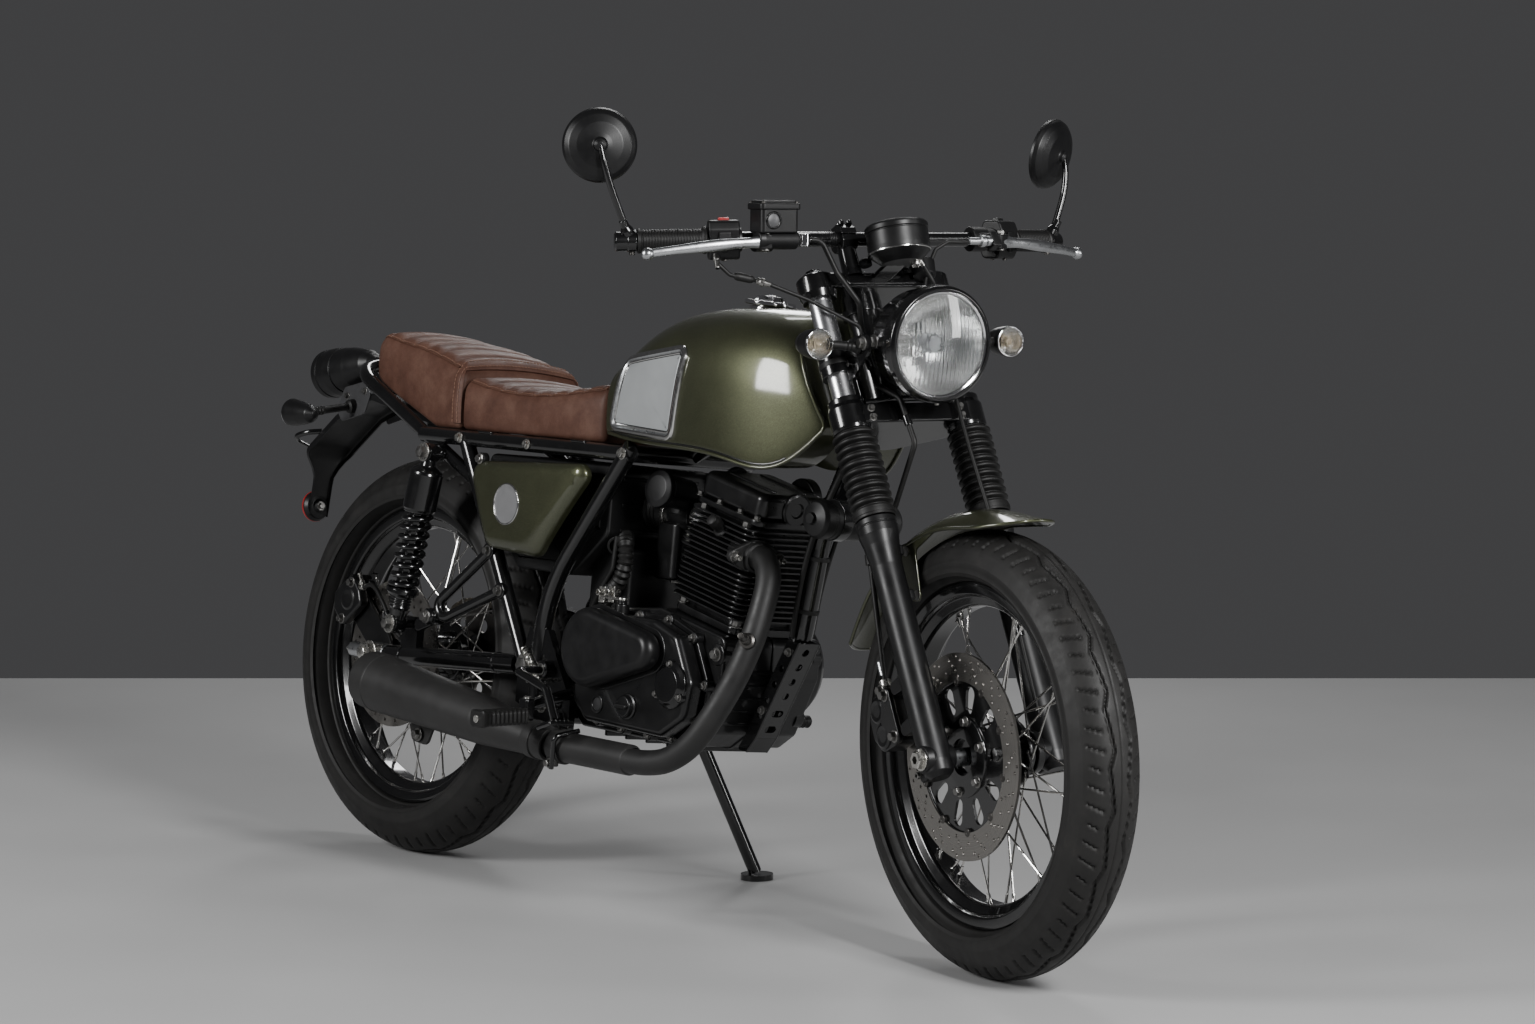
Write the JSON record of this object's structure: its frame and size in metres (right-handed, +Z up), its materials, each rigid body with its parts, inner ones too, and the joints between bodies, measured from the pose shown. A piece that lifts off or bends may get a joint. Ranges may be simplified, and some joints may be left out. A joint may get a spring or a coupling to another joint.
{
  "type": "motorcycle",
  "caption": "Retro street motorcycle with spoked wheels, single-cylinder engine, olive tank, brown stepped seat and round headlamp, parked leaning on its side stand.",
  "frame": {"origin": "on the ground under the middle of the overall box, with the motorcycle leaning to its left on the side stand", "axes": "+X forwards, +Y to the rider's left, +Z up"},
  "size_m": [2.0559, 0.8633, 1.2217],
  "materials": {
    "tyre": "matt black rubber",
    "rim_black": "gloss black",
    "hub_alloy": "black painted alloy",
    "spoke_steel": "bright wire",
    "disc_steel": "ground steel",
    "fork_chrome": "polished",
    "frame_black": "gloss black",
    "black_rubber": "matt",
    "satin_alloy": "satin",
    "black_plastic": "satin black",
    "lamp_glass": "clear fluted",
    "green_paint": "metallic dark olive green, gloss",
    "engine_black": "satin black, cast",
    "exhaust_black": "matt heat-proof black",
    "brown_leather": "worn brown leather",
    "zinc_steel": "zinc plated",
    "chain_steel": "oiled steel"
  },
  "bodies": {
    "chassis": {"frame": "frame_black", "engine_case": "engine_black", "cylinder": "engine_black", "cylinder_head": "engine_black", "engine_covers": "engine_black", "intake_and_air_box": "black_plastic", "exhaust_pipe": "exhaust_black", "muffler": "exhaust_black", "fuel_tank": "green_paint", "fuel_cap": "fork_chrome", "seat": "brown_leather", "side_covers": "green_paint", "rear_fender": "black_plastic", "tail_lamp": "black_plastic", "rear_turn_signals": "black_plastic", "swingarm": "frame_black", "rear_shocks": "frame_black", "rear_axle": "zinc_steel", "rear_caliper": "engine_black", "drive_chain": "chain_steel", "footpegs": "black_rubber", "pillion_brackets": "frame_black", "foot_levers": "zinc_steel", "engine_guard": "frame_black", "vapour_canister": "black_plastic"},
    "steering": {"fork_stanchions": "fork_chrome", "fork_lower_legs": "frame_black", "fork_boots": "black_rubber", "lower_fork_clamp": "frame_black", "upper_fork_clamp": "frame_black", "handlebar": "frame_black", "handlebar_grips": "black_rubber", "handlebar_controls": "satin_alloy", "mirrors": "black_plastic", "instrument": "black_plastic", "headlamp_shell": "frame_black", "headlamp_lens": "lamp_glass", "front_turn_signals": "black_plastic", "front_fender": "green_paint", "front_caliper": "engine_black", "front_axle": "zinc_steel", "control_cables": "black_rubber"},
    "front_wheel": {"front_tyre": "tyre", "front_rim": "rim_black", "front_hub": "hub_alloy", "front_spokes": "spoke_steel", "front_brake_disc": "disc_steel"},
    "rear_wheel": {"rear_tyre": "tyre", "rear_rim": "rim_black", "rear_hub": "hub_alloy", "rear_spokes": "spoke_steel", "rear_brake_disc": "disc_steel", "rear_sprocket": "disc_steel"},
    "side_stand": {"side_stand": "frame_black"}
  },
  "joints": [
    {"name": "steering_head", "type": "hinge", "parent": "chassis", "child": "steering", "pos_m": [0.37788, -0.02786, 0.85854], "axis": [-0.4639, 0.0991, 0.8803], "range_deg": [-24.2, 47.8]},
    {"name": "front_wheel_spin", "type": "hinge", "parent": "steering", "child": "front_wheel", "pos_m": [0.7138, -0.09814, 0.31647], "axis": [0.1812, 0.9833, -0.0152], "continuous": true},
    {"name": "rear_wheel_spin", "type": "hinge", "parent": "chassis", "child": "rear_wheel", "pos_m": [-0.64836, -0.088, 0.32338], "axis": [0.0001, 0.9937, -0.1118], "continuous": true},
    {"name": "side_stand_pivot", "type": "hinge", "parent": "chassis", "child": "side_stand", "pos_m": [-0.13881, 0.0527, 0.25054], "axis": [-0.0001, 0.9766, 0.2151], "range_deg": [0, 100]}
  ]
}
